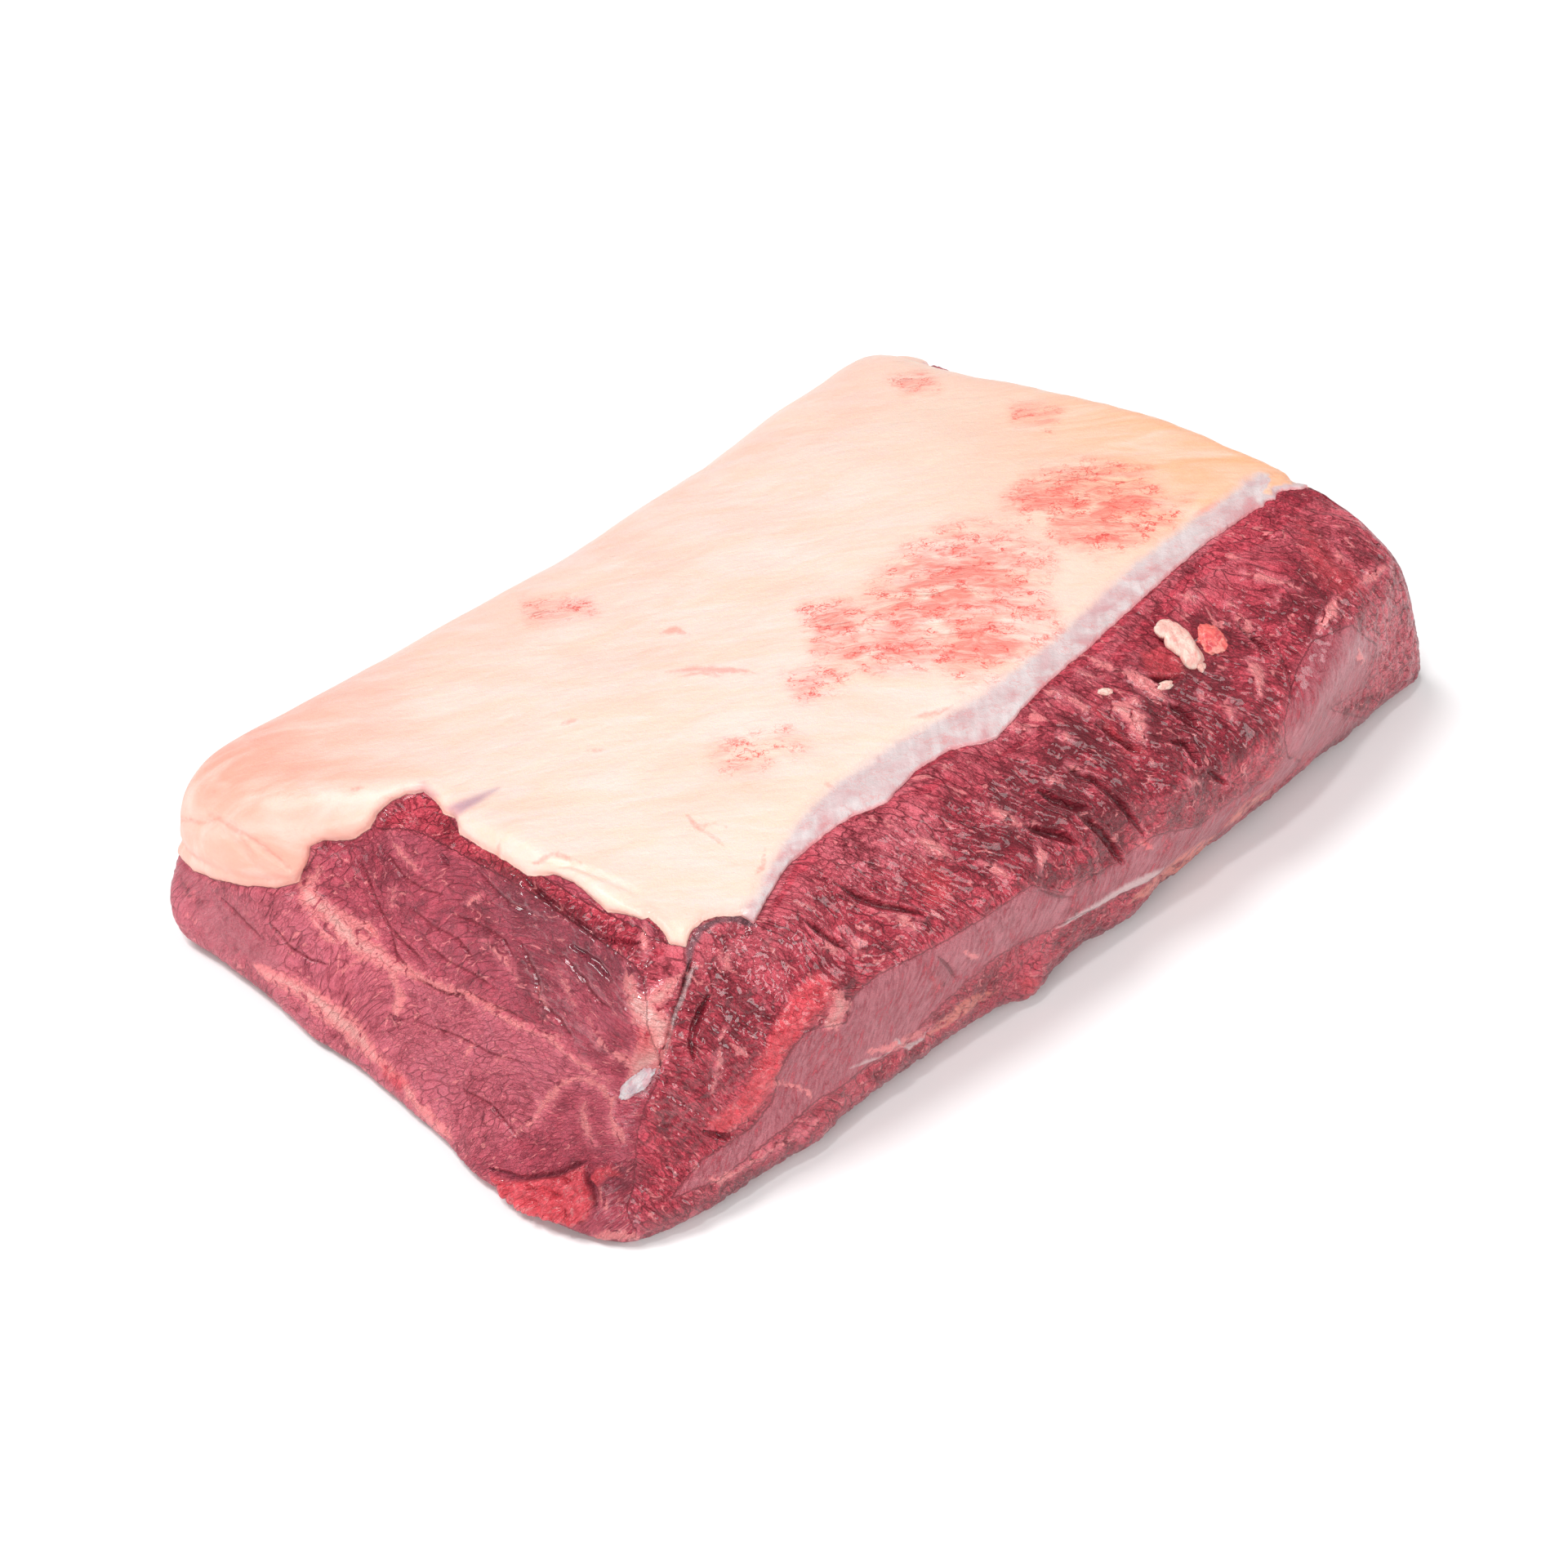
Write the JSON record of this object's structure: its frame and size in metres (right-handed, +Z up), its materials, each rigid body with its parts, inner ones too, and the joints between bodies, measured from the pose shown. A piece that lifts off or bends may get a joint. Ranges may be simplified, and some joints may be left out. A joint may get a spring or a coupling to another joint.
{
  "type": "raw beef striploin",
  "caption": "Boned block of raw beef loin with its fat cover on top, silverskin along the chine edge and slanted cut ends.",
  "frame": {"origin": "middle of the bounding box's underside, on the face that the meat rests on", "axes": "+X along the loin from the near cut end to the far one, +Y across it from the thick chine side to the thin tail side, +Z up through the fat cover"},
  "size_m": [0.3782, 0.2268, 0.0826],
  "materials": {
    "lean_meat": "moist raw red muscle, fibrous, with a thin wet gloss",
    "fat_cover": "smooth creamy fat with a soft sheen and blood-tinged patches",
    "membrane": "glossy, slightly translucent silverskin",
    "scrap_fat": "small ragged piece of pale moist fat",
    "sinew": "whitish glossy connective tissue"
  },
  "bodies": {
    "root": {"lean": "lean_meat", "fat_cap": "fat_cover", "silverskin": "membrane", "fat_scrap": "scrap_fat", "sinew_tab": "sinew"}
  },
  "joints": []
}
